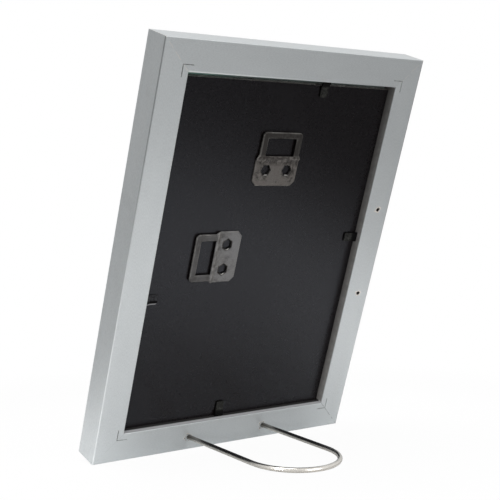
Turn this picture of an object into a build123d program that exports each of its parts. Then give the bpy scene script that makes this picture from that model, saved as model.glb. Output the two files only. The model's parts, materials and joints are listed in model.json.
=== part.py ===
"""An easel back photo frame, standing on a table and leaning back on its wire stand.

The picture faces -Y and the top leans towards +Y. The origin lies on the table, under the middle of the
frame. Left and right are the viewer's, in front of the picture.
"""

import os
from math import asin, atan2, cos, degrees, hypot, pi, radians, sin, tan

from build123d import *

os.makedirs("parts", exist_ok=True)

# Driving sizes of the moulding, in millimetres
frame_width = 158.0
frame_height = 210.0
frame_depth = 14.4
rail_width = 15.0
lip_cover = 5.0
rail_edge_radius = 0.35
rebate_edge_radius = 0.3
sight_bevel = 1.2

# The sheets in the rebate: how deep the panel lies, what each measures and the room around them
panel_recess = 4.6
panel_thickness = 2.5
insert_thickness = 0.4
glass_thickness = 2.0
sheet_side_gap = 0.5
panel_top_gap = 2.5
glass_top_gap = 0.9
glass_arris = 0.25

# Corner nails, driven across each mitre from the back
nail_inset = 11.4
nail_arm = 6.0
nail_thickness = 0.45
nail_depth = 9.0
nail_sink = 0.25

# Bendable points, driven into the rebate walls, whose tabs hold the panel
point_width = 5.0
point_thickness = 0.5
point_height = 1.4
point_drive = 7.0
point_tip = 2.5
point_stub = 0.9
point_reach = 8.4
point_flat = 4.2
point_corner = 1.3
point_press_gap = 0.05
bend_clearance = 0.05
bottom_point_offset = -4.8
left_point_offset = 7.7
top_point_offset = -20.2
right_point_offset = 21.0

# Pressed hanger plates on the panel
hanger_length = 27.4
hanger_base_width = 26.6
hanger_bail_width = 24.5
hanger_step = 14.3
hanger_step_run = 1.7
hanger_base_chamfer = 2.5
hanger_bail_corner = 2.2
hanger_thickness = 0.9
hanger_edge_bevel = 0.35
bail_lift = 0.8
joggle_run = 1.8
window_width = 17.4
window_height = 8.8
window_top_bar = 3.2
window_corner = 0.5
pierced_hole_flats = 5.3
pierced_hole_spacing = 13.0
pierced_hole_height = 8.1
claw_length = 1.9
claw_thickness = 0.5
claw_root_share = 0.72
claws_per_hole = 6
portrait_hanger_inset = 24.1
landscape_hanger_inset = 23.4
landscape_hanger_rise = 0.7

# Wire stand and the oblique holes that take it
wire_diameter = 2.5
stand_spacing = 48.0
stand_leg = 53.0
stand_tilt = 15.0
stand_inset = 7.2
stand_hole_floor = 3.0
stand_clearance = 0.05
wire_end_chamfer = 0.4

# How far a cut runs past the face it opens
overrun = 1.0

# Sizes that follow from the driving ones
rebate_depth = panel_recess + panel_thickness + insert_thickness + glass_thickness
opening_width = frame_width - 2 * rail_width
opening_height = frame_height - 2 * rail_width
panel_width = opening_width - 2 * sheet_side_gap
panel_height = opening_height - panel_top_gap
glass_height = opening_height - glass_top_gap
wire_radius = wire_diameter / 2
stand_radius = stand_spacing / 2
stand_reach = stand_leg + stand_radius
stand_insertion = (frame_depth - stand_hole_floor) / cos(radians(stand_tilt))

# The frame leans back until the far end of the wire loop meets the table
# that the rounded lower back edge stands on
tip_out = stand_reach * cos(radians(stand_tilt))
tip_up = stand_inset + stand_reach * sin(radians(stand_tilt))
edge_to_tip = hypot(tip_out + rail_edge_radius, tip_up - rail_edge_radius)
edge_to_tip_angle = atan2(tip_up - rail_edge_radius, tip_out + rail_edge_radius)
lean = edge_to_tip_angle - asin((wire_radius - rail_edge_radius) / edge_to_tip)

# Where the sharp lower back edge lies: the rounded edge touches the table,
# and the whole part is centred front to back
foot_z = rail_edge_radius * (1 - cos(lean) - sin(lean))
front_y = rail_edge_radius * (sin(lean) + cos(lean) - 1) - frame_depth * cos(lean)
wire_back_y = tip_up * sin(lean) + tip_out * cos(lean) + wire_radius
top_back_y = (frame_height - rail_edge_radius) * sin(lean) + rail_edge_radius * (1 - cos(lean))
foot_y = -(front_y + max(wire_back_y, top_back_y)) / 2

# The back of the frame, seen from behind: x to the right, y up the leaning frame, z out of the back
back_face = Plane(
    origin=(0, foot_y + frame_height / 2 * sin(lean), foot_z + frame_height / 2 * cos(lean)),
    x_dir=(-1, 0, 0),
    z_dir=(0, cos(lean), -sin(lean)),
)


def shifted(plane, x=0.0, y=0.0, z=0.0):
    """The same plane, moved by x, y and z along its own axes."""
    return Plane(plane.from_local_coords(Vector(x, y, z)), plane.x_dir, plane.z_dir)


def turned(plane, angle):
    """The same plane, turned about its own z axis by an angle in degrees."""
    across, up = cos(radians(angle)), sin(radians(angle))
    return Plane(plane.origin, plane.x_dir * across + plane.y_dir * up, plane.z_dir)


def on_edge(plane):
    """The plane that stands on another's y axis: x along that y, y out of it."""
    return Plane(plane.origin, plane.y_dir, plane.x_dir)


class Side:
    """One side of the frame: a plane at its outer back edge's middle, x along it, y towards the picture."""

    def __init__(self, name, turn, length, across, point_offset):
        self.name = name
        self.length = length
        self.edge = shifted(turned(back_face, turn), y=-across / 2)
        self.point = shifted(self.edge, point_offset, rail_width, point_height - panel_recess)
        tilt = radians(stand_tilt)
        drilled = shifted(self.edge, y=stand_inset)
        slant = drilled.z_dir * cos(tilt) + drilled.y_dir * sin(tilt)
        self.drill = Plane(drilled.origin, drilled.x_dir, slant)
        self.corner = shifted(self.edge, length / 2 - nail_inset, nail_inset)


# Each side, then the name of the corner at the end of its x axis
bottom = Side("bottom", 0, frame_width, frame_height, bottom_point_offset)
left = Side("left", 90, frame_height, frame_width, left_point_offset)
top = Side("top", 180, frame_width, frame_height, top_point_offset)
right = Side("right", 270, frame_height, frame_width, right_point_offset)
sides = [bottom, left, top, right]
corner_names = ["bottom_left", "top_left", "top_right", "bottom_right"]


def write(built, name):
    """Labels a finished piece and writes it."""
    built.part.label = name
    export_step(built.part, f"parts/{name}.step")


def nail_outline():
    """The corner nail seen from behind: two thin arms, each along one rail, meeting on the mitre."""
    Polygon(
        (-nail_arm, 0),
        (0, 0),
        (0, nail_arm),
        (-nail_thickness, nail_arm),
        (-nail_thickness, nail_thickness),
        (-nail_arm, nail_thickness),
        align=None,
    )


# Corner nails, sunk a little below the back of the rails
for side, corner_name in zip(sides, corner_names):
    with BuildPart() as corner_nail:
        with BuildSketch(shifted(side.corner, z=-nail_sink)):
            nail_outline()
        extrude(amount=-nail_depth)
    write(corner_nail, f"{corner_name}_corner_nail")

# Point blades: the pointed half of each bendable point, driven into the rebate wall
blades = {}
for side in sides:
    with BuildPart() as blade:
        with BuildSketch(side.point):
            blade_end = point_stub - point_thickness / 2 - bend_clearance
            with BuildLine():
                Polyline(
                    (-point_width / 2, blade_end),
                    (point_width / 2, blade_end),
                    (point_width / 2, point_tip - point_drive),
                    (0, -point_drive),
                    (-point_width / 2, point_tip - point_drive),
                    close=True,
                )
            make_face()
        extrude(amount=point_thickness / 2, both=True)
    blades[side.name] = blade.part
    write(blade, f"{side.name}_point_blade")

# Point tabs: the free half, bent down to the panel and flat at its end, with a round root at the bend
tab_drop = point_height - point_thickness / 2 - point_press_gap
tab_length = point_reach - point_stub
for side in sides:
    with BuildPart() as tab:
        with BuildSketch(on_edge(shifted(side.point, y=point_stub))):
            with BuildLine():
                Polyline(
                    (0, point_thickness / 2),
                    (tab_length - point_flat, point_thickness / 2 - tab_drop),
                    (tab_length, point_thickness / 2 - tab_drop),
                    (tab_length, -point_thickness / 2 - tab_drop),
                    (tab_length - point_flat, -point_thickness / 2 - tab_drop),
                    (0, -point_thickness / 2),
                    close=True,
                )
            make_face()
            Circle(point_thickness / 2)
        extrude(amount=point_width / 2, both=True)
        upright_edges = tab.edges().filter_by(Axis((0, 0, 0), side.edge.z_dir))
        outward = Axis(side.edge.origin, side.edge.y_dir)
        fillet(upright_edges.sort_by(outward)[-2:], point_corner)
    write(tab, f"{side.name}_point_tab")

# The four rails: one moulding profile, cut to a mitre at both ends
rail_reach = rail_width + lip_cover
for index, side in enumerate(sides):
    with BuildPart() as rail:
        with BuildSketch(on_edge(side.edge)) as profile:
            with BuildLine():
                Polyline(
                    (0, 0),
                    (rail_width, 0),
                    (rail_width, -rebate_depth),
                    (rail_reach, -rebate_depth),
                    (rail_reach, -frame_depth),
                    (0, -frame_depth),
                    close=True,
                )
            make_face()
            fillet(profile.vertices().group_by(Axis.Y)[-1].sort_by(Axis.X)[0], rail_edge_radius)
            fillet(profile.vertices().group_by(Axis.Y)[-1].sort_by(Axis.X)[-1], rebate_edge_radius)
            fillet(profile.vertices().group_by(Axis.Y)[0].sort_by(Axis.X)[0], rail_edge_radius)
            chamfer(profile.vertices().group_by(Axis.Y)[0].sort_by(Axis.X)[-1], sight_bevel)
        extrude(amount=side.length / 2, both=True)
        with BuildSketch(shifted(side.edge, z=overrun)):
            with BuildLine():
                Polyline(
                    (-side.length / 2, 0),
                    (side.length / 2, 0),
                    (side.length / 2 - rail_reach - overrun, rail_reach + overrun),
                    (rail_reach + overrun - side.length / 2, rail_reach + overrun),
                    close=True,
                )
            make_face()
        extrude(amount=-frame_depth - 2 * overrun, mode=Mode.INTERSECT)
        # Slits that the corner nails at both ends and the point blade were driven into
        for corner_side in (side, sides[index - 1]):
            with BuildSketch(shifted(corner_side.corner, z=overrun)):
                nail_outline()
            extrude(amount=-overrun - nail_sink - nail_depth, mode=Mode.SUBTRACT)
        add(blades[side.name], mode=Mode.SUBTRACT)
        # Stand holes: the bottom rail's for a tall picture, the left rail's for a wide one
        if side in (bottom, left):
            with BuildSketch(shifted(side.drill, z=overrun)):
                with GridLocations(stand_spacing, 0, 2, 1):
                    Circle(wire_radius + stand_clearance)
            extrude(amount=-overrun - stand_insertion, mode=Mode.SUBTRACT)
    write(rail, f"{side.name}_rail")

# The sheets all stand on the bottom rail's rebate wall
panel_back = shifted(back_face, y=-panel_top_gap / 2, z=-panel_recess)
insert_back = shifted(panel_back, z=-panel_thickness)
glass_back = shifted(back_face, y=-glass_top_gap / 2, z=glass_thickness - rebate_depth)

with BuildPart() as glass_pane:
    with BuildSketch(glass_back):
        Rectangle(panel_width, glass_height)
    extrude(amount=-glass_thickness)
    chamfer(glass_pane.edges(), glass_arris)
write(glass_pane, "glass_pane")

with BuildPart() as photo_insert:
    with BuildSketch(insert_back):
        Rectangle(panel_width, panel_height)
    extrude(amount=-insert_thickness)
write(photo_insert, "photo_insert")


def claw_outline():
    """One claw seen from the middle of its hole: a root in the plate, then drawn to a point."""
    root = claw_root_share * pierced_hole_flats * tan(pi / claws_per_hole)
    Polygon(
        (root / 2, hanger_thickness / 2),
        (root / 2, 0),
        (0, -claw_length),
        (-root / 2, 0),
        (-root / 2, hanger_thickness / 2),
        align=None,
    )


def joggle_section():
    """The plate cut across: flat below, with both upper edges coined."""
    Polygon(
        (-hanger_base_width / 2, 0),
        (hanger_base_width / 2, 0),
        (hanger_base_width / 2, hanger_thickness - hanger_edge_bevel),
        (hanger_base_width / 2 - hanger_edge_bevel, hanger_thickness),
        (hanger_edge_bevel - hanger_base_width / 2, hanger_thickness),
        (-hanger_base_width / 2, hanger_thickness - hanger_edge_bevel),
        align=None,
    )


# Hanger plates: a flat base clawed into the panel, a joggle, and a raised bail with a window for a wall hook
portrait_foot = panel_height / 2 - portrait_hanger_inset - hanger_length
landscape_foot = landscape_hanger_inset + hanger_length - panel_width / 2
hanger_places = {
    "portrait_hanger": shifted(panel_back, y=portrait_foot),
    "landscape_hanger": turned(shifted(panel_back, landscape_foot, landscape_hanger_rise), 90),
}
joggle_start = hanger_step - joggle_run
window_middle = hanger_length - window_top_bar - window_height / 2
hangers = {}
for name, place in hanger_places.items():
    outward = Axis(place.origin, place.z_dir)
    upward = Axis(place.origin, place.y_dir)
    with BuildPart() as hanger:
        # Base: every edge of its upper face is coined, apart from the one that the joggle carries on from
        with BuildSketch(place) as base:
            with Locations((0, joggle_start / 2)):
                Rectangle(hanger_base_width, joggle_start)
            chamfer(base.vertices().group_by(Axis.Y)[0], hanger_base_chamfer)
            with Locations((0, pierced_hole_height)):
                with GridLocations(pierced_hole_spacing, 0, 2, 1):
                    RegularPolygon(
                        pierced_hole_flats / 2, claws_per_hole, major_radius=False, mode=Mode.SUBTRACT
                    )
        extrude(amount=hanger_thickness)
        base_face = hanger.faces().sort_by(outward)[-1]
        chamfer(base_face.edges().sort_by(upward)[:-1], hanger_edge_bevel)
        # Bail: it starts as wide as the base and slopes in to its own width
        with BuildSketch(shifted(place, z=bail_lift)) as bail:
            with BuildLine():
                Polyline(
                    (hanger_base_width / 2, hanger_step),
                    (hanger_bail_width / 2, hanger_step + hanger_step_run),
                    (hanger_bail_width / 2, hanger_length),
                    (-hanger_bail_width / 2, hanger_length),
                    (-hanger_bail_width / 2, hanger_step + hanger_step_run),
                    (-hanger_base_width / 2, hanger_step),
                    close=True,
                )
            make_face()
            fillet(bail.vertices().group_by(Axis.Y)[-1], hanger_bail_corner)
            with Locations((0, window_middle)):
                RectangleRounded(window_width, window_height, window_corner, mode=Mode.SUBTRACT)
        extrude(amount=hanger_thickness)
        bail_face = hanger.faces().sort_by(outward)[-1]
        chamfer(bail_face.edges().sort_by(upward)[1:], hanger_edge_bevel)
        # Joggle: the slope between them, with the same section at both ends
        for end, lift in ((joggle_start, 0), (hanger_step, bail_lift)):
            level = shifted(place, y=end, z=lift)
            with BuildSketch(Plane(level.origin, level.x_dir, -level.y_dir)):
                joggle_section()
        loft(ruled=True)
        # Claws, turned down from the rim of each pierced hole
        for hole_x in (-pierced_hole_spacing / 2, pierced_hole_spacing / 2):
            hole = shifted(place, hole_x, pierced_hole_height)
            for claw in range(claws_per_hole):
                rim = shifted(turned(hole, 360 / claws_per_hole * claw), y=-pierced_hole_flats / 2)
                with BuildSketch(Plane(rim.origin, -rim.x_dir, rim.y_dir)):
                    claw_outline()
                extrude(amount=-claw_thickness)
    hangers[name] = hanger.part
    write(hanger, name)

# The back panel, with a pocket where each claw went in
with BuildPart() as back_panel:
    with BuildSketch(panel_back):
        Rectangle(panel_width, panel_height)
    extrude(amount=-panel_thickness)
    for plate in hangers.values():
        add(plate, mode=Mode.SUBTRACT)
write(back_panel, "back_panel")

# The wire stand: one hairpin of round wire whose straight legs slide into the bottom rail
with BuildPart() as wire_stand:
    loop_plane = Plane(bottom.drill.origin, bottom.drill.x_dir, -bottom.drill.y_dir)
    with BuildLine(loop_plane) as loop:
        Line((-stand_radius, -stand_insertion), (-stand_radius, stand_leg))
        ThreePointArc((-stand_radius, stand_leg), (0, stand_reach), (stand_radius, stand_leg))
        Line((stand_radius, stand_leg), (stand_radius, -stand_insertion))
    with BuildSketch(Plane(loop.line @ 0, z_dir=loop.line % 0)):
        Circle(wire_radius)
    sweep(path=loop.line)
    chamfer(wire_stand.faces().filter_by(GeomType.PLANE).edges(), wire_end_chamfer)
write(wire_stand, "wire_stand")

print(f"leans back {degrees(lean):.2f} degrees, wire reaches {stand_reach:.1f} mm")
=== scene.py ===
# %% [markdown]
# # The back of a silver photo frame
#
# A small picture frame stands on a table and leans back on a wire. We see it from behind: silver
# moulding, a black panel, two pressed hanger plates, four bent points and the wire. The CAD model already
# has every piece at its true size and place, so it is loaded as it is. What is added here is what a
# drawing doesn't carry: finishes, the ground rim of the glass, the torn and curled edges of holes, light,
# a floor and a camera.

import json

import bpy
import numpy as np
from mathutils import Matrix, Vector


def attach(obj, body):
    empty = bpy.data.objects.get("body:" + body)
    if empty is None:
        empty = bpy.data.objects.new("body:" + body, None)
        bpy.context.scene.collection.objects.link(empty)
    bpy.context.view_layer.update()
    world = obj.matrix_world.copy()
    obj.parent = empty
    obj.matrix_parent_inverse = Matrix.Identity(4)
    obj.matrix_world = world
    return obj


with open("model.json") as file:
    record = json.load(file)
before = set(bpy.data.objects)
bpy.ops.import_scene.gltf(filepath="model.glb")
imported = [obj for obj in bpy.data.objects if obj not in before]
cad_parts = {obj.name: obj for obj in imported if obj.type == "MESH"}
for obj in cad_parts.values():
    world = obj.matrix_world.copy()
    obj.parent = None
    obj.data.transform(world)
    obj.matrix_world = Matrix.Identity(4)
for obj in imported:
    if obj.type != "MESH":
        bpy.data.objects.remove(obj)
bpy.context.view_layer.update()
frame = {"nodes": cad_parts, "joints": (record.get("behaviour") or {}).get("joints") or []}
nodes = frame["nodes"]

# %% [markdown]
# ## Directions along the leaning back
#
# Nearly everything lies flat on a frame that leans, so places are easiest to give in the frame's own
# directions: to the right along the back, up the frame, and out of the back. The bent point in the left
# rail turns about a line that runs straight up the frame, so its hinge axis tells us the lean. Reading it
# from the model is safer than typing an angle, because the two can then never disagree.

# %% The frame's own directions
joint_axes = {joint["name"]: np.array(joint["axis"]) for joint in frame["joints"]}
up = joint_axes["left_tab_bend"]
right = np.array([-1.0, 0.0, 0.0])
out = np.cross(right, up)
frame_turn = np.column_stack([right, up, out])
print("leans back", round(float(np.degrees(np.arctan2(up[1], up[2]))), 2), "degrees")


# %% The middle of the back
def piece_points(name):
    """Every vertex of a CAD piece, one row each, in metres."""
    mesh = nodes[name].data
    points = np.empty(len(mesh.vertices) * 3, np.float32)
    mesh.vertices.foreach_get("co", points)
    return points.reshape(-1, 3).astype(float)


side_names = ["bottom", "left", "top", "right"]
moulding = np.vstack([piece_points(f"{side}_rail") for side in side_names]) @ frame_turn
low, high = moulding.min(axis=0), moulding.max(axis=0)
back_middle = frame_turn @ [(low[0] + high[0]) / 2, (low[1] + high[1]) / 2, high[2]]
half_width, half_height, half_depth = (high - low) / 2 * 1000


def on_frame(millimetres):
    """Places in millimetres to the right, up and out from the middle of the back, as points in the
    scene."""
    return back_middle + np.asarray(millimetres, float) / 1000 @ frame_turn.T


def reach_on_back(name):
    """The lowest and the highest place of a CAD piece in millimetres to the right, up and out."""
    places = (piece_points(name) - back_middle) @ frame_turn * 1000
    return places.min(axis=0), places.max(axis=0)


print("half sizes in mm:", half_width.round(2), half_height.round(2), half_depth.round(2))

# %% [markdown]
# ## The camera
#
# A photograph of four known corners is enough to find where the camera stood. Here it stood low, behind
# the frame and to one side, a little over half a metre away. We give its place and the point it looks at
# in the frame's own directions. A long lens keeps the frame's sides nearly parallel, as in the picture.

# %% Camera
camera_place = (-347.44, 172.61, 407.10)
camera_target = (-9.07, 4.15, 0.0)
camera_roll = -0.454
camera_lens = 81.18


def facing(place, target, roll=0.0):
    """The pose of a camera or lamp that looks at target: its z axis points backwards. Roll is in
    degrees."""
    backward = Vector(place - target).normalized()
    level = Vector((0, 0, 1)).cross(backward).normalized()
    turn = Matrix.Rotation(np.radians(roll), 3, backward)
    across = turn @ level
    pose = Matrix((across, backward.cross(across), backward)).transposed().to_4x4()
    pose.translation = Vector(place)
    return pose


camera_data = bpy.data.cameras.new("camera")
camera_data.sensor_width = 36.0
camera_data.lens = camera_lens
camera_data.clip_end = 50.0
camera = bpy.data.objects.new("camera", camera_data)
camera.matrix_world = facing(on_frame(camera_place), on_frame(camera_target), camera_roll)
bpy.context.scene.collection.objects.link(camera)
bpy.context.scene.camera = camera
print("camera at", [round(value, 3) for value in camera.matrix_world.translation])

# %% [markdown]
# ## Small helpers for materials
#
# A material is a little network: places go in, patterns and colours come out. Small helpers keep each
# network short: they add a node and fill its sockets, with numbers or with wires from other nodes, do
# arithmetic, fade and mix. One gives each point's place on the frame in millimetres, so that every
# pattern below can be written in real sizes.

# %% Node helpers
def fill(tree, socket, value):
    """Gives a socket a number or a colour, or wires another node's output into it."""
    if isinstance(value, bpy.types.NodeSocket):
        tree.links.new(value, socket)
    else:
        socket.default_value = value


def add_node(tree, kind, sockets=None, **settings):
    """A new shader node. Sockets take a number, a colour or another node's output."""
    made = tree.nodes.new("ShaderNode" + kind)
    for setting, value in settings.items():
        setattr(made, setting, value)
    for socket, value in (sockets or {}).items():
        fill(tree, made.inputs[socket], value)
    return made


def split(tree, vector):
    """The three numbers of a vector, as outputs named X, Y and Z."""
    return add_node(tree, "SeparateXYZ", {"Vector": vector}).outputs


def maths(tree, operation, *values):
    """One arithmetic step on numbers or wires."""
    return add_node(tree, "Math", dict(enumerate(values)), operation=operation).outputs[0]


def product(tree, *factors):
    """Two or more numbers or masks, multiplied together."""
    total = factors[0]
    for factor in factors[1:]:
        total = maths(tree, "MULTIPLY", total, factor)
    return total


def scaled(tree, value, by, plus):
    """A number or mask times one number, plus another."""
    return maths(tree, "MULTIPLY_ADD", value, by, plus)


def fade(tree, value, start, end):
    """0 where value is at start, 1 where it is at end, and a smooth rise between."""
    sockets = {"Value": value, "From Min": start, "From Max": end}
    return add_node(tree, "MapRange", sockets, interpolation_type="SMOOTHSTEP").outputs["Result"]


def between(tree, share, first, second):
    """A colour that goes from first to second as share goes from 0 to 1."""
    return add_node(tree, "Mix", {0: share, 6: first, 7: second}, data_type="RGBA").outputs[2]


def lay(tree, base, tone, mask, share):
    """A tone laid over a base colour, as strongly as mask times share."""
    return between(tree, product(tree, mask, share), base, tone)


def past_span(tree, value, start, end):
    """How far a value lies past the nearer end of a span. Inside the span it is below 0."""
    off_middle = maths(tree, "ABSOLUTE", maths(tree, "SUBTRACT", value, (start + end) / 2))
    return maths(tree, "SUBTRACT", off_middle, (end - start) / 2)


# %% Colours and places
def colour(red, green, blue):
    """A colour given as it looks on a screen, 0 to 255, in the linear light that shaders work in."""
    shown = np.array([red, green, blue]) / 255
    linear = np.where(shown <= 0.04045, shown / 12.92, ((shown + 0.055) / 1.055) ** 2.4)
    return (*linear.tolist(), 1.0)


lean_turn = Matrix(frame_turn.tolist()).to_euler()
millimetre = 0.001
relief_depth = 0.0002


def frame_place(tree):
    """Each point's place on the frame: millimetres to the right, up and out from the middle of the
    back."""
    coordinates = add_node(tree, "TexCoord").outputs["Object"]
    scale = (millimetre,) * 3
    sockets = {"Vector": coordinates, "Location": back_middle, "Rotation": lean_turn, "Scale": scale}
    return add_node(tree, "Mapping", sockets, vector_type="TEXTURE").outputs["Vector"]


def finish_of(name, **constants):
    """An empty material with one Principled shader, whose plain numbers are set on its own sockets."""
    material = bpy.data.materials.new(name)
    material.use_nodes = True
    shader = material.node_tree.nodes["Principled BSDF"]
    for socket, value in constants.items():
        shader.inputs[socket.replace("_", " ")].default_value = value
    return material, material.node_tree, shader


def dress(tree, shader, tone, rough, pattern=None, strength=0.0):
    """Wires a tone and a roughness into a shader. A pattern stands out of the surface by how it takes
    the light."""
    tree.links.new(tone, shader.inputs["Base Color"])
    tree.links.new(rough, shader.inputs["Roughness"])
    if pattern is not None:
        bump = add_node(tree, "Bump", {"Height": pattern, "Strength": strength, "Distance": relief_depth})
        tree.links.new(bump.outputs["Normal"], shader.inputs["Normal"])


print("helpers ready, lean as a rotation:", [round(np.degrees(angle), 1) for angle in lean_turn])

# %% [markdown]
# ## Effects that several finishes share
#
# Foil, hardboard and steel differ in colour, but all show a fine grain and all have been handled. Each
# such effect is a node group, built once and placed in each material with its own sizes. The grain is
# noise with its contrast raised. Handling marks are broad soft patches, broken up by a finer noise.
# Scratches are noise drawn out until only its crests are left as thin lines.

# %% Shared effects as node groups
def effect(name, inputs, output):
    """An empty node group with number or vector inputs and one output."""
    group = bpy.data.node_groups.new(name, "ShaderNodeTree")
    for label, kind, value in inputs:
        socket = group.interface.new_socket(label, in_out="INPUT", socket_type=kind)
        if value is not None:
            socket.default_value = value
    group.interface.new_socket(output, in_out="OUTPUT", socket_type="NodeSocketFloat")
    return group, group.nodes.new("NodeGroupInput").outputs, group.nodes.new("NodeGroupOutput").inputs


number, place = "NodeSocketFloat", "NodeSocketVector"

fine_grain, given, result = effect(
    "fine_grain", [("Place", place, None), ("Size", number, 1.0), ("Contrast", number, 0.5)], "Tone"
)
density = maths(fine_grain, "DIVIDE", 1.0, given["Size"])
sockets = {"Vector": given["Place"], "Scale": density, "Detail": 3.0, "Roughness": 0.6}
noise = add_node(fine_grain, "TexNoise", sockets).outputs["Fac"]
swing = product(fine_grain, maths(fine_grain, "SUBTRACT", noise, 0.5), 3.0)
tone = scaled(fine_grain, swing, given["Contrast"], 0.5)
fine_grain.links.new(add_node(fine_grain, "Clamp", {"Value": tone}).outputs[0], result["Tone"])

handling, given, result = effect(
    "handling", [("Place", place, None), ("Size", number, 20.0), ("Cover", number, 0.4)], "Mask"
)
density = maths(handling, "DIVIDE", 1.0, given["Size"])
broad = add_node(handling, "TexNoise", {"Vector": given["Place"], "Scale": density, "Detail": 4.0})
finer = product(handling, density, 9.0)
broken = add_node(handling, "TexNoise", {"Vector": given["Place"], "Scale": finer, "Detail": 2.0})
edge = maths(handling, "SUBTRACT", 0.72, product(handling, given["Cover"], 0.35))
swing = maths(handling, "SUBTRACT", broken.outputs["Fac"], 0.5)
patch = scaled(handling, swing, 0.18, broad.outputs["Fac"])
handling.links.new(fade(handling, patch, edge, maths(handling, "ADD", edge, 0.16)), result["Mask"])

scratches, given, result = effect(
    "scratches",
    [("Place", place, None), ("Length", number, 8.0), ("Angle", number, 0.6), ("Cover", number, 0.3)],
    "Mask",
)
spin = add_node(scratches, "CombineXYZ", {"Z": given["Angle"]}).outputs[0]
turned = add_node(scratches, "Mapping", {"Vector": given["Place"], "Rotation": spin}).outputs["Vector"]
along = maths(scratches, "DIVIDE", 1.0, given["Length"])
drawn = add_node(scratches, "CombineXYZ", {"X": along, "Y": 3.0, "Z": 3.0}).outputs[0]
drawn_out = add_node(scratches, "VectorMath", {0: turned, 1: drawn}, operation="MULTIPLY").outputs["Vector"]
lines = add_node(scratches, "TexNoise", {"Vector": drawn_out, "Scale": 1.0, "Detail": 1.0}).outputs["Fac"]
crest = maths(scratches, "SUBTRACT", 0.8, product(scratches, given["Cover"], 0.2))
scratches.links.new(fade(scratches, lines, crest, maths(scratches, "ADD", crest, 0.05)), result["Mask"])


def use(tree, group, **values):
    """Places a shared effect in a material and gives back its output."""
    placed = tree.nodes.new("ShaderNodeGroup")
    placed.node_tree = group
    for socket, value in values.items():
        fill(tree, placed.inputs[socket], value)
    return placed.outputs[0]


print("shared effects:", [group.name for group in bpy.data.node_groups])

# %% [markdown]
# ## Silver foil
#
# The moulding is a wood fibre core wrapped in a thin printed foil. The foil has a satin metal look with a
# fine grain that runs along each rail. The level rails are painted darker than the upright ones, the bottom
# one most, as painted shade. The foil covers the upper wall of the rebate and the upper half of the lower
# one; the deeper half of that is painted near black, as shade. At the sides it ends near the top, and the
# grey core shows, painted darker deeper into the rebate as shade. The mitre is a hairline, and the drilled
# holes are painted near black inside, as shade. The back's long edges carry a painted reflection, dark
# towards the top and bright towards the foot, and the top of the rebate a painted highlight. All of these
# are masks, worked out from each point's place on the frame: no picture is needed, and the lines stay
# sharp at any distance.

# %% Masks on the moulding
rail_width, rebate_floor = 15.0, 9.5
rebate_half_width, rebate_half_height = half_width - rail_width, half_height - rail_width
hole_inset, hole_spacing, hole_surround = 7.2, 48.0, 5.0
hairline = 0.34


def mitre_mask(tree, right_by, up_by, wobble):
    """The hairline of the mitre, where both distances to the outer edges are the same. One corner's is
    faint."""
    across = maths(tree, "SUBTRACT", maths(tree, "ABSOLUTE", right_by), half_width)
    along = maths(tree, "SUBTRACT", maths(tree, "ABSOLUTE", up_by), half_height)
    apart = maths(tree, "ADD", maths(tree, "SUBTRACT", across, along), wobble)
    line = fade(tree, maths(tree, "ABSOLUTE", apart), hairline, 0.08)
    clear = maths(tree, "MAXIMUM", fade(tree, right_by, -30.0, 30.0), fade(tree, up_by, -30.0, 30.0))
    return product(tree, line, scaled(tree, clear, 0.8, 0.2))


def core_mask(tree, right_by, up_by, outward):
    """The bare core inside the rebate, from where the foil ends to the floor that the glass lies on. The
    foil covers the upper wall."""
    across, along = maths(tree, "ABSOLUTE", right_by), maths(tree, "ABSOLUTE", up_by)
    return product(
        tree,
        fade(tree, across, rebate_half_width + 0.4, rebate_half_width + 0.2),
        fade(tree, along, rebate_half_height + 0.4, rebate_half_height + 0.2),
        fade(tree, up_by, rebate_half_height - 0.3, rebate_half_height - 0.8),
        fade(tree, outward, -0.2, -0.9),
        fade(tree, outward, -rebate_floor - 0.4, -rebate_floor - 0.2),
    )


def drilled_mask(tree, right_by, up_by, outward):
    """The walls of the four drilled holes: below the back and short of the front, near a pair in the
    bottom rail or a pair in one side rail."""
    from_middle = maths(tree, "SUBTRACT", maths(tree, "ABSOLUTE", right_by), hole_spacing / 2)
    from_foot = maths(tree, "SUBTRACT", up_by, hole_inset - half_height)
    from_side = maths(tree, "SUBTRACT", right_by, half_width - hole_inset)
    from_centre = maths(tree, "SUBTRACT", maths(tree, "ABSOLUTE", up_by), hole_spacing / 2)
    near = []
    for across, along in ((from_middle, from_foot), (from_side, from_centre)):
        square = maths(tree, "MAXIMUM", maths(tree, "ABSOLUTE", across), maths(tree, "ABSOLUTE", along))
        near.append(fade(tree, square, hole_surround + 0.2, hole_surround))
    depth = product(tree, fade(tree, outward, -0.08, -0.2), fade(tree, outward, -13.6, -13.2))
    return product(tree, maths(tree, "MAXIMUM", *near), depth)


def edge_masks(tree, right_by, up_by, outward):
    """Two narrow bands on the back: along its outer left and right edges, which carry a painted reflection,
    and along the top of the rebate, which carries a painted highlight."""
    on_back = fade(tree, outward, -0.6, -0.3)
    outer = fade(tree, maths(tree, "ABSOLUTE", right_by), half_width - 0.7, half_width - 0.3)
    highlight_over_rebate = product(
        tree,
        fade(tree, up_by, rebate_half_height + 1.0, rebate_half_height + 0.4),
        fade(tree, up_by, 0.0, 10.0),
        fade(tree, right_by, 35.0, -50.0),
        fade(tree, maths(tree, "ABSOLUTE", right_by), rebate_half_width + 0.3, rebate_half_width),
    )
    return product(tree, outer, on_back), product(tree, highlight_over_rebate, on_back)


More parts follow.
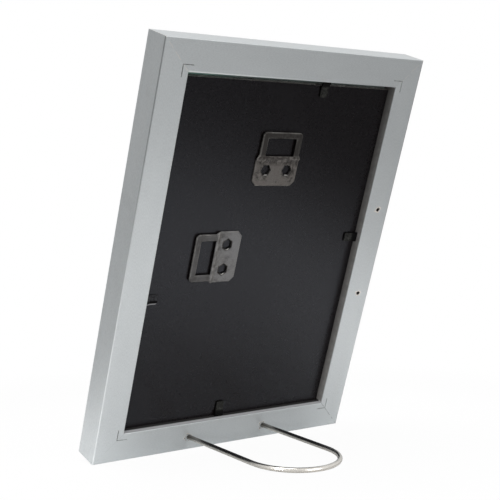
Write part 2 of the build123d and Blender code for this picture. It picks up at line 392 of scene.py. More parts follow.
# %% Silver foil along each rail
def silver_foil(name, stretch, dark, light, painted_lighter_ends):
    """Foil between a dark and a light tone, with its grain drawn out along the rail: stretch shrinks the
    pattern's scale in that direction. A rail may be painted lighter towards its ends, easing a level rail's
    painted shade into the uprights' tone."""
    material, tree, shader = finish_of(name, Specular_IOR_Level=0.5, IOR=1.5)
    spot = frame_place(tree)
    right_by, up_by, outward = split(tree, spot)
    stretched = add_node(tree, "Mapping", {"Vector": spot, "Scale": stretch}).outputs["Vector"]
    grain = use(tree, fine_grain, Place=stretched, Size=0.30, Contrast=0.6)
    cloud = use(tree, fine_grain, Place=stretched, Size=7.0, Contrast=0.7)
    rubbed = use(tree, handling, Place=spot, Size=16.0, Cover=0.35)
    filled = use(tree, fine_grain, Place=spot, Size=3.0, Contrast=1.2)
    wobble = scaled(tree, filled, 0.5, -0.25)
    mitre = mitre_mask(tree, right_by, up_by, wobble)
    core = core_mask(tree, right_by, up_by, outward)
    outer_edge, painted_rebate_highlight = edge_masks(tree, right_by, up_by, outward)
    foil = between(tree, grain, dark, light)
    foil = lay(tree, foil, light, cloud, 0.3)
    foil = lay(tree, foil, colour(160, 163, 164), rubbed, 0.10)
    near_end = fade(tree, maths(tree, "ABSOLUTE", right_by), 42.0, 74.0)
    foil = lay(tree, foil, colour(214, 218, 219), near_end, painted_lighter_ends)
    # Painted reflection on the back's long edges: dark towards the top and bright towards the foot
    painted_edge_reflection = between(tree, fade(tree, up_by, 75.0, -60.0), colour(118, 122, 124), colour(226, 229, 230))
    foil = lay(tree, foil, painted_edge_reflection, outer_edge, 0.6)
    # A painted highlight along the top of the rebate
    foil = lay(tree, foil, colour(240, 246, 244), painted_rebate_highlight, 0.8)
    # The bare core, painted darker deeper into the rebate as shade
    bare = between(tree, fade(tree, outward, -0.6, -4.4), colour(142, 140, 138), colour(106, 104, 102))
    bare = lay(tree, bare, colour(84, 82, 80), filled, 0.35)
    # On the lower wall: foil on the upper half, painted near-black shade on the deeper half
    lower_wall = fade(tree, up_by, 0.8 - rebate_half_height, 0.3 - rebate_half_height)
    foil_over_painted_shade = between(tree, fade(tree, outward, -2.2, -2.9), colour(190, 190, 192), colour(26, 25, 24))
    bare = between(tree, lower_wall, bare, foil_over_painted_shade)
    foil = between(tree, core, foil, bare)
    # The drilled holes, painted near black inside as shade
    foil = between(tree, drilled_mask(tree, right_by, up_by, outward), foil, colour(14, 11, 9))
    seam = between(tree, fade(tree, up_by, -40.0, 40.0), colour(92, 94, 95), colour(226, 221, 213))
    broken = fade(tree, filled, 0.25, 0.6)
    foil = lay(tree, foil, seam, product(tree, mitre, broken), 0.6)
    sheen = scaled(tree, grain, 0.10, 0.36)
    sheen = scaled(tree, rubbed, 0.06, sheen)
    sheen = scaled(tree, core, 0.4, sheen)
    tree.links.new(scaled(tree, core, -0.5, 0.5), shader.inputs["Metallic"])
    relief = scaled(tree, mitre, -0.5, product(tree, grain, 0.4))
    dress(tree, shader, foil, sheen, relief, 0.08)
    return material


# One foil in three tones: the level rails are painted darker than the upright ones, the bottom one most, as
# painted shade
upwards, sideways = (1.0, 0.28, 1.0), (0.28, 1.0, 1.0)
upright_foil = silver_foil(
    "silver_foil_upright", upwards, colour(186, 190, 192), colour(213, 217, 218), painted_lighter_ends=0.0
)
top_foil = silver_foil(
    "silver_foil_top", sideways, colour(184, 188, 190), colour(210, 214, 215), painted_lighter_ends=0.0
)
bottom_foil = silver_foil(
    "silver_foil_bottom", sideways, colour(174, 178, 180), colour(200, 204, 205), painted_lighter_ends=0.5
)
rail_foils = {"bottom": bottom_foil, "left": upright_foil, "top": top_foil, "right": upright_foil}


def put_on(finish, *pieces):
    """Gives CAD pieces a finish in place of the plain one they came with."""
    for piece in pieces:
        nodes[piece].data.materials.clear()
        nodes[piece].data.materials.append(finish)
    print(finish.name, "on", len(pieces))


for side, foil in rail_foils.items():
    put_on(foil, f"{side}_rail")

# %% [markdown]
# ## The black back panel
#
# The panel is thin hardboard, black on its smooth side. It isn't a mirror and isn't matt: it holds a
# soft, blurred reflection of the table. A little lint and some wiped patches keep it from looking like a
# hole in the picture. Wiping changes its roughness and not its colour. Its cut top edge shows the
# brown-grey board.

# %% Black hardboard
hardboard, tree, shader = finish_of(
    "black_hardboard", Specular_IOR_Level=0.45, IOR=1.5, Specular_Tint=(0.82, 0.88, 1.0, 1.0)
)
spot = frame_place(tree)
fibre = use(tree, fine_grain, Place=spot, Size=0.7, Contrast=0.8)
wiped = use(tree, handling, Place=spot, Size=45.0, Cover=0.6)
lint = use(tree, fine_grain, Place=spot, Size=1.3, Contrast=1.6)
lint = fade(tree, lint, 0.97, 1.0)
black = between(tree, fibre, colour(13, 9, 9), colour(17, 13, 13))
panel_top = float(reach_on_back("back_panel")[1][1])
cut_edge = fade(tree, split(tree, spot)["Y"], panel_top - 0.1, panel_top - 0.02)
black = between(tree, cut_edge, black, colour(112, 108, 104))
black = lay(tree, black, colour(86, 86, 88), lint, 0.04)
dull = scaled(tree, wiped, 0.02, scaled(tree, fibre, 0.05, 0.26))
dress(tree, shader, black, dull, fibre, 0.06)
put_on(hardboard, "back_panel")

# %% [markdown]
# ## Nails, points and wire
#
# The corner nails are bare steel, mostly hidden under the foil they were driven through. The bent points
# are blued black, with painted shade near black at the root and on the sides, and a painted shadow along
# two edges; one has instead a painted shadow along its lower part and a painted highlight on its lower
# edge. The wire is nickel plated and polished, darker towards where it enters the rail, and with a
# painted dark reflection along the top of its legs. They share the grain, handling and scratch effects
# and differ in colour and gloss, so one function makes them all. What sits in a certain place is laid
# over afterwards.

# %% Steel finishes
def steel(name, dark, light, gloss, patch_size, patch_cover, metal, relief, grain_size=0.5, shine=0.5):
    """Steel between a dark and a light tone: fine grain, darker and duller patches, and pale thin
    scratches."""
    material, tree, shader = finish_of(name, Metallic=metal, IOR=1.5, Specular_IOR_Level=shine)
    spot = frame_place(tree)
    grain = use(tree, fine_grain, Place=spot, Size=grain_size, Contrast=0.8)
    patches = use(tree, handling, Place=spot, Size=patch_size, Cover=patch_cover)
    lines = use(tree, scratches, Place=spot, Length=7.0, Angle=0.9, Cover=0.5)
    tone = between(tree, grain, dark, light)
    tone = lay(tree, tone, dark, patches, 0.6)
    tone = lay(tree, tone, light, lines, 0.3)
    rough = scaled(tree, grain, 0.06, gloss)
    rough = scaled(tree, patches, 0.08, rough)
    dress(tree, shader, tone, rough, grain, relief)
    return material


def overlay(material, mask, share, tone):
    """Lays a tone over the colour that a finish has so far, as strongly as mask times share."""
    tree = material.node_tree
    base = tree.nodes["Principled BSDF"].inputs["Base Color"]
    tree.links.new(lay(tree, base.links[0].from_socket, tone, mask, share), base)


def lay_over(material, axis, start, end, share, tone):
    """Lays a tone over a finish, from nothing at start to its share at end, in millimetres to the right
    (X), up (Y) or out of the back (Z)."""
    tree = material.node_tree
    reached = split(tree, frame_place(tree))[axis]
    overlay(material, fade(tree, reached, start, end), share, tone)


def lay_painted_shadow_edges(material, pieces, share, tone):
    """Lays a tone along the left and upper edges of small flat pieces, as a painted shadow. Each piece's
    box is carried on past its right and lower edges, so that only the other two lie near the end of it."""
    tree = material.node_tree
    spot = split(tree, frame_place(tree))
    carried_on, far_away = 0.8, 99.0
    outside = far_away
    for piece in pieces:
        lowest, highest = (corner.tolist() for corner in reach_on_back(piece))
        past_side = past_span(tree, spot["X"], lowest[0], highest[0] + carried_on)
        past_end = past_span(tree, spot["Y"], lowest[1] - carried_on, highest[1])
        outside = maths(tree, "MINIMUM", outside, maths(tree, "MAXIMUM", past_side, past_end))
    overlay(material, fade(tree, outside, -0.75, -0.4), share, tone)


# %% Blued points, nails and wire
# The blades are painted near black, as shade at the root
painted_shade_blade = steel(
    "painted_shade_blade", colour(3, 3, 3), colour(10, 10, 10),
    gloss=0.5, patch_size=4.0, patch_cover=0.4, metal=0.3, relief=0.05, shine=0.05,
)
tab_make = {"gloss": 0.40, "patch_size": 3.0, "patch_cover": 0.5, "metal": 0.4, "relief": 0.05}
tab_make |= {"grain_size": 0.9, "shine": 0.08}
blued_tab = steel("blued_tab", colour(16, 16, 15), colour(66, 66, 64), **tab_make)
# Painted shade, near black, at the root of the tabs and on their sides
lay_over(blued_tab, "Z", start=-3.95, end=-3.45, share=0.95, tone=colour(3, 3, 3))
lay_over(blued_tab, "Z", start=-4.1, end=-4.2, share=0.95, tone=colour(3, 3, 3))
# A painted shadow along the left and upper edges of three tabs
tabs_with_painted_shadow = ["bottom_point_tab", "left_point_tab", "top_point_tab"]
lay_painted_shadow_edges(blued_tab, tabs_with_painted_shadow, share=0.95, tone=colour(2, 2, 2))
tab_with_painted_highlight = steel("tab_with_painted_highlight", colour(24, 24, 26), colour(66, 66, 69), **tab_make)
# The fourth tab has a painted shadow along its lower part and a painted highlight on its lower edge
lower_edge = float(reach_on_back("right_point_tab")[0][1])
lay_over(tab_with_painted_highlight, "Y", start=lower_edge + 2.1, end=lower_edge + 1.7, share=0.97, tone=colour(1, 1, 1))
bright = colour(160, 160, 162)
lay_over(tab_with_painted_highlight, "Y", start=lower_edge + 0.65, end=lower_edge + 0.5, share=0.75, tone=bright)
nail_steel = steel(
    "nail_steel", colour(34, 33, 32), colour(186, 189, 189),
    gloss=0.40, patch_size=5.0, patch_cover=0.5, metal=0.6, relief=0.05, grain_size=2.4,
)
nickel = steel(
    "nickel_wire", colour(214, 210, 203), colour(224, 221, 215),
    gloss=0.20, patch_size=14.0, patch_cover=-0.5, metal=1.0, relief=0.005,
)
# Darker towards where the wire enters the rail
lay_over(nickel, "Z", start=9.0, end=1.0, share=0.7, tone=colour(88, 82, 74))
print("steel:", [finish.name for finish in (painted_shade_blade, blued_tab, tab_with_painted_highlight, nail_steel, nickel)])

# %% Painted dark reflection on the wire's legs
slide = joint_axes["stand_slide"] @ frame_turn
leg_rise = float(slide[1] / slide[2])
dark_reflection_ends, dark_reflection_full = 60.0, 42.0
tree = nickel.node_tree
spot = split(tree, frame_place(tree))
leg_middle = scaled(tree, spot["Z"], leg_rise, hole_inset - half_height)
on_top = fade(tree, maths(tree, "SUBTRACT", spot["Y"], leg_middle), -0.1, 0.4)
painted_dark_reflection = product(tree, on_top, fade(tree, spot["Z"], dark_reflection_ends, dark_reflection_full))
# The top of each leg is painted dark, as a painted reflection
overlay(nickel, painted_dark_reflection, share=0.77, tone=colour(58, 56, 54))
print("the legs rise", round(leg_rise, 3), "for each step out")

# %% Put on the steel
corner_names = ["bottom_left", "top_left", "top_right", "bottom_right"]
put_on(painted_shade_blade, *[f"{side}_point_blade" for side in side_names])
put_on(blued_tab, *tabs_with_painted_shadow)
put_on(tab_with_painted_highlight, "right_point_tab")
put_on(nail_steel, *[f"{corner}_corner_nail" for corner in corner_names])
put_on(nickel, "wire_stand")

# %% [markdown]
# ## The hanger plates
#
# A hanger plate is pressed from thin steel: a flat base, clawed into the panel through two pierced holes,
# and a raised bail with a window for a wall hook. Its rims are lighter, from handling wear and as a
# painted highlight on their rounded edges. It is darker on the bail and in the bend, its window's walls
# carry painted shade, and on one plate the slope up to the bail is painted lighter, as painted light.
# These marks follow the plate's outline, so each plate gets its own directions: across it, along it from
# its foot to its bail, and out. Both plates come from one tool, so one function finishes both.

# %% Places on a plate
base_half, bail_half, plate_length = 13.3, 12.25, 27.4
bend_start, bend_end, slope_end = 12.5, 14.3, 16.0
window_half, window_low, window_high = 8.7, 15.4, 24.2
rim_width = 0.75

portrait_low, portrait_high = reach_on_back("portrait_hanger")
landscape_low, landscape_high = reach_on_back("landscape_hanger")
plates = {
    "portrait_hanger": (float(portrait_low[0] + portrait_high[0]) / 2, float(portrait_low[1]), 0.0),
    "landscape_hanger": (float(landscape_high[0]), float(landscape_low[1] + landscape_high[1]) / 2, 90.0),
}
print("plates at", {name: np.round(place, 2).tolist() for name, place in plates.items()})


# %% Masks on a plate
def plate_masks(tree, across, along):
    """Masks that follow a plate: its bail, the slope up to it, the bend round that, the rims of outline and
    window, worn and carrying a painted highlight, and the window's walls, carrying painted shade."""
    on_bail = fade(tree, along, window_low - 0.6, window_low + 0.9)
    slope_begins = fade(tree, along, bend_start - 0.4, bend_start + 0.4)
    on_slope = product(tree, slope_begins, fade(tree, along, window_low, bend_end))
    bend_begins = fade(tree, along, bend_start - 3.0, bend_start)
    in_bend = product(tree, bend_begins, fade(tree, along, slope_end + 1.0, bend_end))
    drawn_in = fade(tree, along, bend_end, slope_end)
    narrowed = scaled(tree, drawn_in, bail_half - base_half, base_half)
    to_side = maths(tree, "SUBTRACT", narrowed, maths(tree, "ABSOLUTE", across))
    to_end = maths(tree, "MINIMUM", along, maths(tree, "SUBTRACT", plate_length, along))
    outline = fade(tree, maths(tree, "MINIMUM", to_side, to_end), rim_width, 0.3)
    past_side = past_span(tree, across, -window_half, window_half)
    past_window = maths(tree, "MAXIMUM", past_side, past_span(tree, along, window_low, window_high))
    window_rim = product(
        tree,
        fade(tree, past_window, 0.8, 0.35),
        fade(tree, past_window, 0.05, 0.2),
        fade(tree, along, window_low + 2.0, window_high),
    )
    shaded_window_wall = fade(tree, past_window, 0.08, 0.02)
    return on_bail, on_slope, in_bend, maths(tree, "MAXIMUM", outline, window_rim), shaded_window_wall


# %% Finish of the plates
def plate_finish(name, right_by, up_by, turn, cast, bail_darkening, darkened, painted_slope_light):
    """Grey pressed steel with a cast of some colour: darker on the bail and in the bend, with handling
    smudges, the slope painted lighter as painted light, the window's walls in painted shade, and lighter
    rims for wear and a painted highlight."""
    material, tree, shader = finish_of(name, Metallic=0.85, IOR=1.5)
    spot = frame_place(tree)
    sockets = {"Vector": spot, "Location": (right_by, up_by, 0.0), "Rotation": (0.0, 0.0, np.radians(turn))}
    own = add_node(tree, "Mapping", sockets, vector_type="TEXTURE").outputs["Vector"]
    place_on = split(tree, own)
    on_bail, on_slope, in_bend, rims, shaded_window_wall = plate_masks(tree, place_on["X"], place_on["Y"])
    grain = use(tree, fine_grain, Place=spot, Size=0.5, Contrast=0.9)
    mottle = use(tree, fine_grain, Place=spot, Size=2.2, Contrast=1.3)
    tint = use(tree, fine_grain, Place=spot, Size=14.0, Contrast=1.2)
    smudge = use(tree, handling, Place=spot, Size=8.0, Cover=0.85)
    lines = use(tree, scratches, Place=own, Length=9.0, Angle=1.5, Cover=0.6)
    grey = between(tree, grain, colour(96, 93, 90), colour(136, 134, 131))
    grey = between(tree, scaled(tree, tint, 0.4, 0.4), grey, cast)
    # The slope up to the bail is painted lighter, as painted light
    grey = lay(tree, grey, colour(166, 163, 159), on_slope, painted_slope_light)
    # Darker on the bail and in the bend; smudges from handling
    grey = lay(tree, grey, colour(50, 48, 47), on_bail, bail_darkening)
    grey = lay(tree, grey, colour(46, 43, 41), product(tree, in_bend, mottle), darkened)
    grey = lay(tree, grey, colour(50, 47, 45), product(tree, smudge, mottle), darkened)
    grey = lay(tree, grey, colour(150, 149, 146), lines, 0.25)
    # The rims are lighter, from handling wear and as a painted highlight on their rounded edges
    worn_and_highlit_rims = product(tree, rims, fade(tree, tint, 0.1, 0.8))
    grey = lay(tree, grey, colour(150, 148, 144), worn_and_highlit_rims, 0.4)
    # Painted shade in the window's walls
    grey = lay(tree, grey, colour(16, 15, 15), shaded_window_wall, 0.8)
    rough = scaled(tree, grain, 0.08, 0.38)
    rough = scaled(tree, smudge, 0.10, rough)
    dress(tree, shader, grey, rough, grain, 0.06)
    return material


portrait_steel = plate_finish(
    "portrait_steel", *plates["portrait_hanger"],
    cast=colour(113, 107, 103), bail_darkening=0.86, darkened=0.9, painted_slope_light=0.0,
)
landscape_steel = plate_finish(
    "landscape_steel", *plates["landscape_hanger"],
    cast=colour(127, 127, 129), bail_darkening=0.58, darkened=0.4, painted_slope_light=0.45,
)
put_on(portrait_steel, "portrait_hanger")
put_on(landscape_steel, "landscape_hanger")

# %% [markdown]
# ## Glass and the blank insert
#
# Float glass is clear face on and blue-green at its edges, where one looks through its whole width. A
# true tint inside the glass would give that too, but a mask at the rim is simpler and reads the same. The
# paper touches the pane, so lamps, scattered light and rays that the glass has bent already are let
# straight through: the paper is lit, and the plane that both share doesn't show. The paper is a blank
# sheet, ready for a picture of one's own.

# %% Float glass
glass, tree, shader = finish_of("float_glass", Transmission_Weight=1.0, IOR=1.5, Roughness=0.02)
spot = frame_place(tree)
pane_low, pane_high = reach_on_back("glass_pane")
axes = split(tree, spot)
past_side = past_span(tree, axes["X"], float(pane_low[0]), float(pane_high[0]))
past_end = past_span(tree, axes["Y"], float(pane_low[1]), float(pane_high[1]))
rim = fade(tree, maths(tree, "MAXIMUM", past_side, past_end), -0.55, -0.15)
ripple = use(tree, fine_grain, Place=spot, Size=60.0, Contrast=0.5)
clear = between(tree, ripple, (0.96, 0.99, 0.975, 1.0), (0.98, 0.995, 0.985, 1.0))
tree.links.new(between(tree, rim, clear, colour(92, 156, 140)), shader.inputs["Base Color"])
rays = add_node(tree, "LightPath").outputs
let_through = add_node(tree, "BsdfTransparent").outputs[0]
pane = shader.outputs[0]
for kind in ("Is Shadow Ray", "Is Diffuse Ray", "Is Transmission Ray"):
    pane = add_node(tree, "MixShader", {0: rays[kind], 1: pane, 2: let_through}).outputs[0]
tree.links.new(pane, tree.nodes["Material Output"].inputs["Surface"])
put_on(glass, "glass_pane")
print("pane in mm:", (pane_high - pane_low).round(1))

# %% Blank insert
paper, tree, shader = finish_of("insert_paper", Specular_IOR_Level=0.3, IOR=1.45)
spot = frame_place(tree)
fibres = use(tree, fine_grain, Place=spot, Size=0.6, Contrast=0.6)
toned = use(tree, handling, Place=spot, Size=70.0, Cover=0.5)
sheet = between(tree, fibres, colour(226, 224, 219), colour(238, 236, 232))
sheet = lay(tree, sheet, colour(222, 219, 212), toned, 0.25)
dress(tree, shader, sheet, scaled(tree, fibres, 0.1, 0.55), fibres, 0.05)
put_on(paper, "photo_insert")

# %% [markdown]
# ## The ground rim of the pane
#
# A cut pane has its sharp edges ground off, and the ground band is satin, pale and blue-green. From
# behind it shows as a thin line above the panel, which stops short of the top rail. The band is one
# profile, carried round the pane: the profile gives how far in from the edge each point lies and how
# deep, and the path is the pane's rectangle.

# %% Helpers for new pieces
def grid_faces(rows, columns, rows_close, columns_close):
    """Quads between the points of a grid, row by row. A closed direction joins its last line to its
    first."""
    steps_down, steps_across = rows - (not rows_close), columns - (not columns_close)
    row, column = np.meshgrid(np.arange(steps_down), np.arange(steps_across), indexing="ij")
    next_row, next_column = (row + 1) % rows, (column + 1) % columns
    around = ((row, column), (next_row, column), (next_row, next_column), (row, next_column))
    return np.stack([down * columns + over for down, over in around], axis=-1).reshape(-1, 4)


def make_piece(name, points, faces, finish, body):
    """A new object from a grid of points, riding on a body, under the name given."""
    mesh = bpy.data.meshes.new(name)
    mesh.from_pydata(points.reshape(-1, 3).tolist(), [], faces.tolist())
    mesh.shade_smooth()
    mesh.materials.append(finish)
    piece = bpy.data.objects.new(name, mesh)
    bpy.context.scene.collection.objects.link(piece)
    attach(piece, body)
    return piece


# %% Ground rim
def ground_rim(half_across, half_along, middle_up, profile, steps):
    """A band round a pane. The path goes round a square of half side 1 in the plane. A profile point
    (inset, out) widens that square to half_across - inset by half_along - inset, and lies out
    millimetres from the back."""
    run = np.linspace(-1, 1, steps, endpoint=False)
    edge = np.ones_like(run)
    sides = ((run, -edge), (edge, run), (-run, edge), (-edge, -run))
    square = np.concatenate([np.stack(side, 1) for side in sides])
    inset, depth = np.array(profile).T
    across = square[:, None, 0] * (half_across - inset)
    along = square[:, None, 1] * (half_along - inset) + middle_up
    return on_frame(np.stack([across, along, np.broadcast_to(depth, across.shape)], axis=-1))


ground, tree, shader = finish_of("ground_glass", IOR=1.5)
spot = frame_place(tree)
satin = use(tree, fine_grain, Place=spot, Size=0.25, Contrast=0.6)
drift = use(tree, fine_grain, Place=spot, Size=60.0, Contrast=1.0)
greyer = fade(tree, split(tree, spot)["X"], -60.0, -20.0)
rim_tone = between(tree, greyer, colour(158, 214, 197), colour(140, 150, 147))
rim_tone = lay(tree, rim_tone, colour(128, 150, 143), drift, 0.3)
rim_tone = lay(tree, rim_tone, colour(180, 200, 194), satin, 0.15)
dress(tree, shader, rim_tone, scaled(tree, satin, 0.15, 0.25))
arris, skin, band = 0.25, 0.02, 1.25
back, front = float(pane_high[2]) + skin, float(pane_low[2]) - skin
rim_profile = [(band, back), (arris, back), (-skin, back - arris), (-skin, front + arris), (arris, front)]
rim_profile += [(band, front), (band, front + 2 * skin), (band, back - 2 * skin)]
half_pane, middle_up = float(pane_high[1] - pane_low[1]) / 2, float(pane_high[1] + pane_low[1]) / 2
rim_points = ground_rim(float(pane_high[0]), half_pane, middle_up, rim_profile, steps=24)
rim_faces = grid_faces(*rim_points.shape[:2], True, True)[:, ::-1]
glass_rim = make_piece("glass_rim", rim_points, rim_faces, ground, "frame")
print(glass_rim.name, "of", len(rim_faces), "faces")

# %% [markdown]
# ## Torn rims of the stand holes
#
# The wire plugs into two holes that were drilled straight through the foil. A drill tears foil: each hole
# has a ragged pale collar, and inside it the brown fibre is painted dark, as shade down in the hole. Two
# more holes in a side rail are for turning the frame on its side. A collar is a surface over angle and
# share: the share runs from inside the hole to the ragged edge, the height swells between, and a few
# waves of different length make no two collars alike.

# %% Torn rims
def torn_rim(place_up, tilt_along, mouth, spread, lift, seed, spokes=72, rings=9):
    """A ragged collar. At angle a and share s its radius is mouth + s * spread * (1 + waves of a),
    stretched a little along the drill's slant, and its height is a hump over s that starts down in the
    hole and ends under the foil."""
    random = np.random.default_rng(seed)
    tear, stretch, sunk, tucked = 0.55, 0.035, 0.35, 0.03
    turn = np.linspace(0, 2 * np.pi, spokes, endpoint=False)
    angle, share = np.meshgrid(turn, np.linspace(0, 1, rings), indexing="ij")
    waves = np.arange(2, 14)
    phase = random.uniform(0, 2 * np.pi, waves.size)
    size = random.uniform(0.4, 1.0, waves.size) * tear / np.sqrt(waves)
    ragged = (np.cos(angle[..., None] * waves + phase) * size).sum(axis=-1)
    radius = mouth + share * spread * (1 + 0.8 * ragged)
    hump = lift * (np.sin(np.pi * share**0.7) * (1 + 0.7 * ragged))
    hump = hump - sunk * (1 - share) ** 3 - tucked * share**4
    flat = np.stack([radius * np.cos(angle), radius * np.sin(angle), hump], axis=-1)
    slant = np.array(tilt_along)
    flat[..., :2] += (flat[..., :2] @ slant)[..., None] * slant * stretch
    return on_frame(flat + np.array([*place_up, 0.0]))


torn, tree, shader = finish_of("torn_foil", IOR=1.5)
ring = split(tree, add_node(tree, "UVMap").outputs["UV"])["Y"]
spot = frame_place(tree)
shred = use(tree, fine_grain, Place=spot, Size=0.3, Contrast=1.0)
# Down in the hole the fibre is painted dark, as shade
fibre_in_painted_shade = between(tree, shred, colour(12, 9, 7), colour(48, 39, 31))
pale = between(tree, shred, colour(204, 196, 187), colour(234, 231, 226))
torn_tone = between(tree, fade(tree, ring, 0.12, 0.42), fibre_in_painted_shade, pale)
dress(tree, shader, torn_tone, scaled(tree, shred, 0.2, 0.5), shred, 0.3)

# The wire has pressed its collars a little to the left and down
pressed_left, pressed_down = 0.4, 0.1
stand_up, spare_right = hole_inset - half_height - pressed_down, half_width - hole_inset
stand_drill = {"tilt_along": (0.0, 1.0), "mouth": 1.3, "spread": 1.0, "lift": 0.06}
spare_drill = {"tilt_along": (1.0, 0.0), "mouth": 0.78, "spread": 1.0, "lift": 0.14}
# Place, drill, seed, and how far the painted shade of the hole reaches out
collars = {
    "stand_hole_rim_a": ((-hole_spacing / 2 - pressed_left, stand_up), stand_drill, 3, 3.0),
    "stand_hole_rim_b": ((hole_spacing / 2 - pressed_left, stand_up), stand_drill, 8, 3.0),
    "spare_hole_rim_a": ((spare_right, hole_spacing / 2), spare_drill, 21, 1.0),
    "spare_hole_rim_b": ((spare_right, -hole_spacing / 2), spare_drill, 34, 1.0),
}


def map_ring(piece, spokes, shares):
    """A UV map on a ring of spokes: u goes once round, and v is the share given for each ring of
    points."""
    turns = np.repeat(np.linspace(0, 1, spokes, endpoint=False), len(shares))
    places = np.stack([turns, np.tile(shares, spokes)], axis=1)
    corners = np.empty(len(piece.data.loops), np.int32)
    piece.data.loops.foreach_get("vertex_index", corners)
    piece.data.uv_layers.new(name="ring").data.foreach_set("uv", places[corners].ravel())


for name, (place_up, drill, seed, shade_reach) in collars.items():
    collar_points = torn_rim(place_up, seed=seed, **drill)
    spokes, rings = collar_points.shape[:2]
    collar_faces = grid_faces(spokes, rings, True, True)[:, ::-1]
    collar = make_piece(name, collar_points, collar_faces, torn, "frame")
    map_ring(collar, spokes, np.linspace(0, 1, rings) ** shade_reach)
print("collars:", list(collars))

# %% [markdown]
# ## Curled rims of the pierced holes
#
# The plates aren't drilled but pierced: a pointed tool bursts through the steel and turns the torn
# tongues down into the panel. What is left round the hole is a curled lip, highest at the lower side,
# where the tool leaned. The lip is a surface over angle and share: its path is the six sided hole, and
# its profile rises over the plate's edge and rolls down inside. The crest at the lower side carries a
# painted highlight, and the throat is painted near black, as shade.

# %% Curled rims
pierced_flats, pierced_spacing, pierced_along, bail_lift = 5.3, 13.0, 8.1, 0.8
lip_profile = [(0.46, -0.04), (0.34, 0.04), (0.18, 0.10), (0.0, 0.10)]
lip_profile += [(-0.18, 0.02), (-0.34, -0.18), (-0.44, -0.48), (-0.5, -0.84)]


def curled_rim(right_by, up_by, level, phase, seed, spokes=96):
    """A lip round a hexagon. At angle a the hole's radius is half its flats / cos(a's distance from the
    nearest side's middle). A profile point (offset, height) adds to that radius, more where the lip
    leans, and lies above level."""
    random = np.random.default_rng(seed)
    tear, leaning, tightened = 0.35, 0.3, 0.97
    angle = np.linspace(0, 2 * np.pi, spokes, endpoint=False)[:, None]
    hexagon = pierced_flats / 2 / np.cos((angle - phase) % (np.pi / 3) - np.pi / 6)
    waves = np.arange(3, 15)
    turns = random.uniform(0, 2 * np.pi, waves.size)
    ragged = (np.cos(angle * waves + turns) / np.sqrt(waves)).sum(axis=1, keepdims=True) * tear
    offset, height = np.array(lip_profile).T
    lean = 1 - leaning * np.sin(angle)
    inward = np.linspace(0, 1, len(lip_profile))
    radius = hexagon * tightened + offset * lean + 0.22 * ragged * inward
    rise = height * np.where(height > 0, lean, 1) + 0.08 * ragged * np.sin(np.pi * inward)
    points = [right_by + radius * np.cos(angle), up_by + radius * np.sin(angle), level + rise]
    return on_frame(np.stack(np.broadcast_arrays(*points), axis=-1))


lip_steel, tree, shader = finish_of("pierced_lip", Metallic=0.8, IOR=1.5)
ring = split(tree, add_node(tree, "UVMap").outputs["UV"])
shred = use(tree, fine_grain, Place=frame_place(tree), Size=0.6, Contrast=1.4)
round_by, inward = ring["X"], ring["Y"]
lower_side = product(tree, fade(tree, round_by, 0.67, 0.74), fade(tree, round_by, 0.86, 0.79))
# A painted highlight on the crest at the lower side
crest = product(tree, lower_side, fade(tree, inward, 0.34, 0.48), fade(tree, inward, 0.74, 0.6))
lip = between(tree, shred, colour(34, 32, 31), colour(104, 101, 98))
# The throat is painted near black, as shade
throat = between(tree, shred, colour(5, 5, 5), colour(38, 36, 35))
lip = between(tree, fade(tree, inward, 0.3, 0.5), lip, throat)
lip = between(tree, crest, lip, colour(140, 138, 135))
dress(tree, shader, lip, scaled(tree, shred, 0.2, 0.36))

for name, (foot_right, foot_up, turn) in plates.items():
    level = float(reach_on_back(name)[1][2]) - bail_lift
    heading = np.radians(turn)
    for mark, sideways in (("a", -pierced_spacing / 2), ("b", pierced_spacing / 2)):
        hole_right = foot_right + sideways * np.cos(heading) - pierced_along * np.sin(heading)
        hole_up = foot_up + sideways * np.sin(heading) + pierced_along * np.cos(heading)
        lip_points = curled_rim(hole_right, hole_up, level, heading, len(name) + int(sideways))
        lip_faces = grid_faces(*lip_points.shape[:2], True, True)
        lip_name = f"{name}_lip_{mark}"
        lip_piece = make_piece(lip_name, lip_points, lip_faces, lip_steel, "frame")
        map_ring(lip_piece, lip_points.shape[0], np.linspace(0, 1, len(lip_profile)))
        print(lip_piece.name, "at", round(float(hole_right), 2), round(float(hole_up), 2))

# %% [markdown]
# ## Floor and background
#
# The frame stands on a white table in a white studio. The floor is a plain pale surface that takes the
# frame's shadow. To the camera and through glass, nearly plain white is laid over it, and in reflections
# a smaller share, so the background is white without more light on the frame. The light on a table is a
# pool: it fades with distance.

# %% Floor
def disc(radius, rings, spokes):
    """A flat round floor: at share s from the middle and angle a, the point is radius * s^2 * (cos a,
    sin a)."""
    turn = np.linspace(0, 2 * np.pi, spokes, endpoint=False)
    share, angle = np.meshgrid(np.linspace(0, 1, rings), turn, indexing="ij")
    reach = radius * share**2
    points = np.stack([reach * np.cos(angle), reach * np.sin(angle), np.zeros_like(reach)], axis=-1)
    ring, spoke = np.meshgrid(np.arange(rings - 1), np.arange(spokes), indexing="ij")
    corner, beside = ring * spokes + spoke, ring * spokes + (spoke + 1) % spokes
    faces = np.stack([corner, corner + spokes, beside + spokes, beside], axis=-1).reshape(-1, 4)
    return points.reshape(-1, 3), faces


floor_points, floor_faces = disc(radius=6.0, rings=12, spokes=48)
floor_mesh = bpy.data.meshes.new("floor")
floor_mesh.from_pydata(floor_points.tolist(), [], floor_faces.tolist())
floor = bpy.data.objects.new("floor", floor_mesh)
bpy.context.scene.collection.objects.link(floor)
print("floor of", len(floor_faces), "faces")

# %% Floor finish
floor_white, tree, shader = finish_of("floor_white", Roughness=0.9, Specular_IOR_Level=0.1)
middle = add_node(tree, "TexCoord").outputs["Object"]
reach = add_node(tree, "VectorMath", {0: middle}, operation="LENGTH").outputs["Value"]
pool_ends, pool_full = 0.33, 0.16
shadow_share, gloss_share = 0.04, 0.2
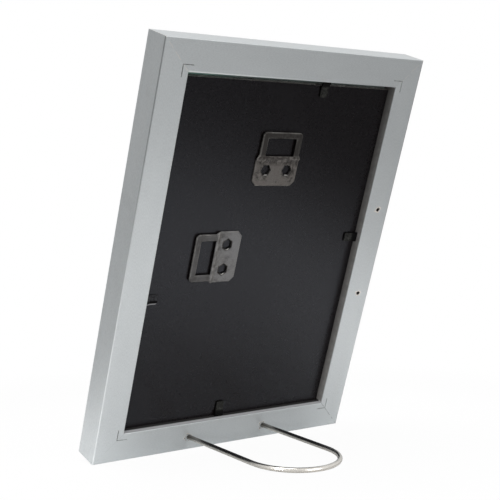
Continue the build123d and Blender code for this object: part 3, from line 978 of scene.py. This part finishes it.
# The floor's colour is a painted pool of light, pale near the middle and grey further out
pool = fade(tree, reach, pool_ends, pool_full)
tree.links.new(between(tree, pool, colour(78, 78, 78), colour(244, 244, 244)), shader.inputs["Base Color"])
rays = add_node(tree, "LightPath").outputs
in_view = maths(tree, "MAXIMUM", rays["Is Camera Ray"], rays["Is Transmission Ray"])
in_view = product(tree, in_view, scaled(tree, pool, -shadow_share, 1.0))
# In reflections the white is a painted pool of light, kept off near the frame's foot
pool_off_foot = product(tree, pool, fade(tree, reach, 0.07, 0.17))
in_gloss = product(tree, rays["Is Glossy Ray"], pool_off_foot, gloss_share)
white = add_node(tree, "Emission", {"Color": (1.0, 1.0, 1.0, 1.0), "Strength": 1.0})
laid_over = maths(tree, "MAXIMUM", in_view, in_gloss)
floor_mix = add_node(tree, "MixShader", {0: laid_over, 1: shader.outputs[0], 2: white.outputs[0]})
tree.links.new(floor_mix.outputs[0], tree.nodes["Material Output"].inputs["Surface"])
floor_mesh.materials.append(floor_white)
print("floor finish:", floor_white.name)

# %% Background
studio = bpy.data.worlds.new("studio")
studio.use_nodes = True
tree = studio.node_tree
rays = add_node(tree, "LightPath").outputs
direction = split(tree, add_node(tree, "TexCoord").outputs["Generated"])
# Reflections see the studio dimmer in front of the frame than behind it
front_share, added_behind, ambient_level = 0.22, 0.68, 0.46
behind = fade(tree, direction["Y"], -0.9, 0.2)
in_reflection = scaled(tree, behind, added_behind, front_share)
in_gloss = product(tree, rays["Is Glossy Ray"], in_reflection)
in_view = maths(tree, "MAXIMUM", rays["Is Camera Ray"], rays["Is Transmission Ray"])
seen = maths(tree, "MAXIMUM", in_view, in_gloss)
ambient = tree.nodes["Background"]
ambient.inputs["Color"].default_value = (1.0, 1.0, 1.0, 1.0)
ambient.inputs["Strength"].default_value = ambient_level
backdrop = add_node(tree, "Background", {"Color": (1.0, 1.0, 1.0, 1.0), "Strength": 1.0})
studio_mix = add_node(tree, "MixShader", {0: seen, 1: ambient.outputs[0], 2: backdrop.outputs[0]})
tree.links.new(studio_mix.outputs[0], tree.nodes["World Output"].inputs["Surface"])
bpy.context.scene.world = studio
print("background:", studio.name)

# %% [markdown]
# ## Light
#
# The shadows of the hanger plates fall to the left and upwards, so the main lamp stands low on the
# camera's right. A broad lamp overhead lights the top of the moulding and the table. Both are large,
# which makes the shadows soft. A small weak lamp with a grid on it lifts the foot of the left side. Their
# power keeps the pale foil well below white.

# %% Lamps
def softbox(name, spot, target, size, power, spread=180.0):
    """A square lamp that faces a target, both in metres. A grid on it narrows its spread, in degrees."""
    lamp_data = bpy.data.lights.new(name, "AREA")
    lamp_data.size = size
    lamp_data.energy = power
    lamp_data.spread = np.radians(spread)
    lamp = bpy.data.objects.new(name, lamp_data)
    lamp.matrix_world = facing(np.array(spot), np.array(target))
    bpy.context.scene.collection.objects.link(lamp)
    return lamp


aim = (0.0, 0.0, 0.09)
lamps = [
    softbox("main_softbox", (-0.28, 1.13, 0.3), aim, size=0.6, power=5.4),
    softbox("overhead_softbox", (0.25, -0.05, 1.28), aim, size=0.7, power=9.0),
    softbox("fill_softbox", (0.75, 0.35, 0.1), (0.09, -0.02, 0.0), size=0.15, power=0.08, spread=28.0),
]
view = bpy.context.scene.view_settings
view.view_transform = "Standard"
print("lamps:", {lamp.name: lamp.data.energy for lamp in lamps})
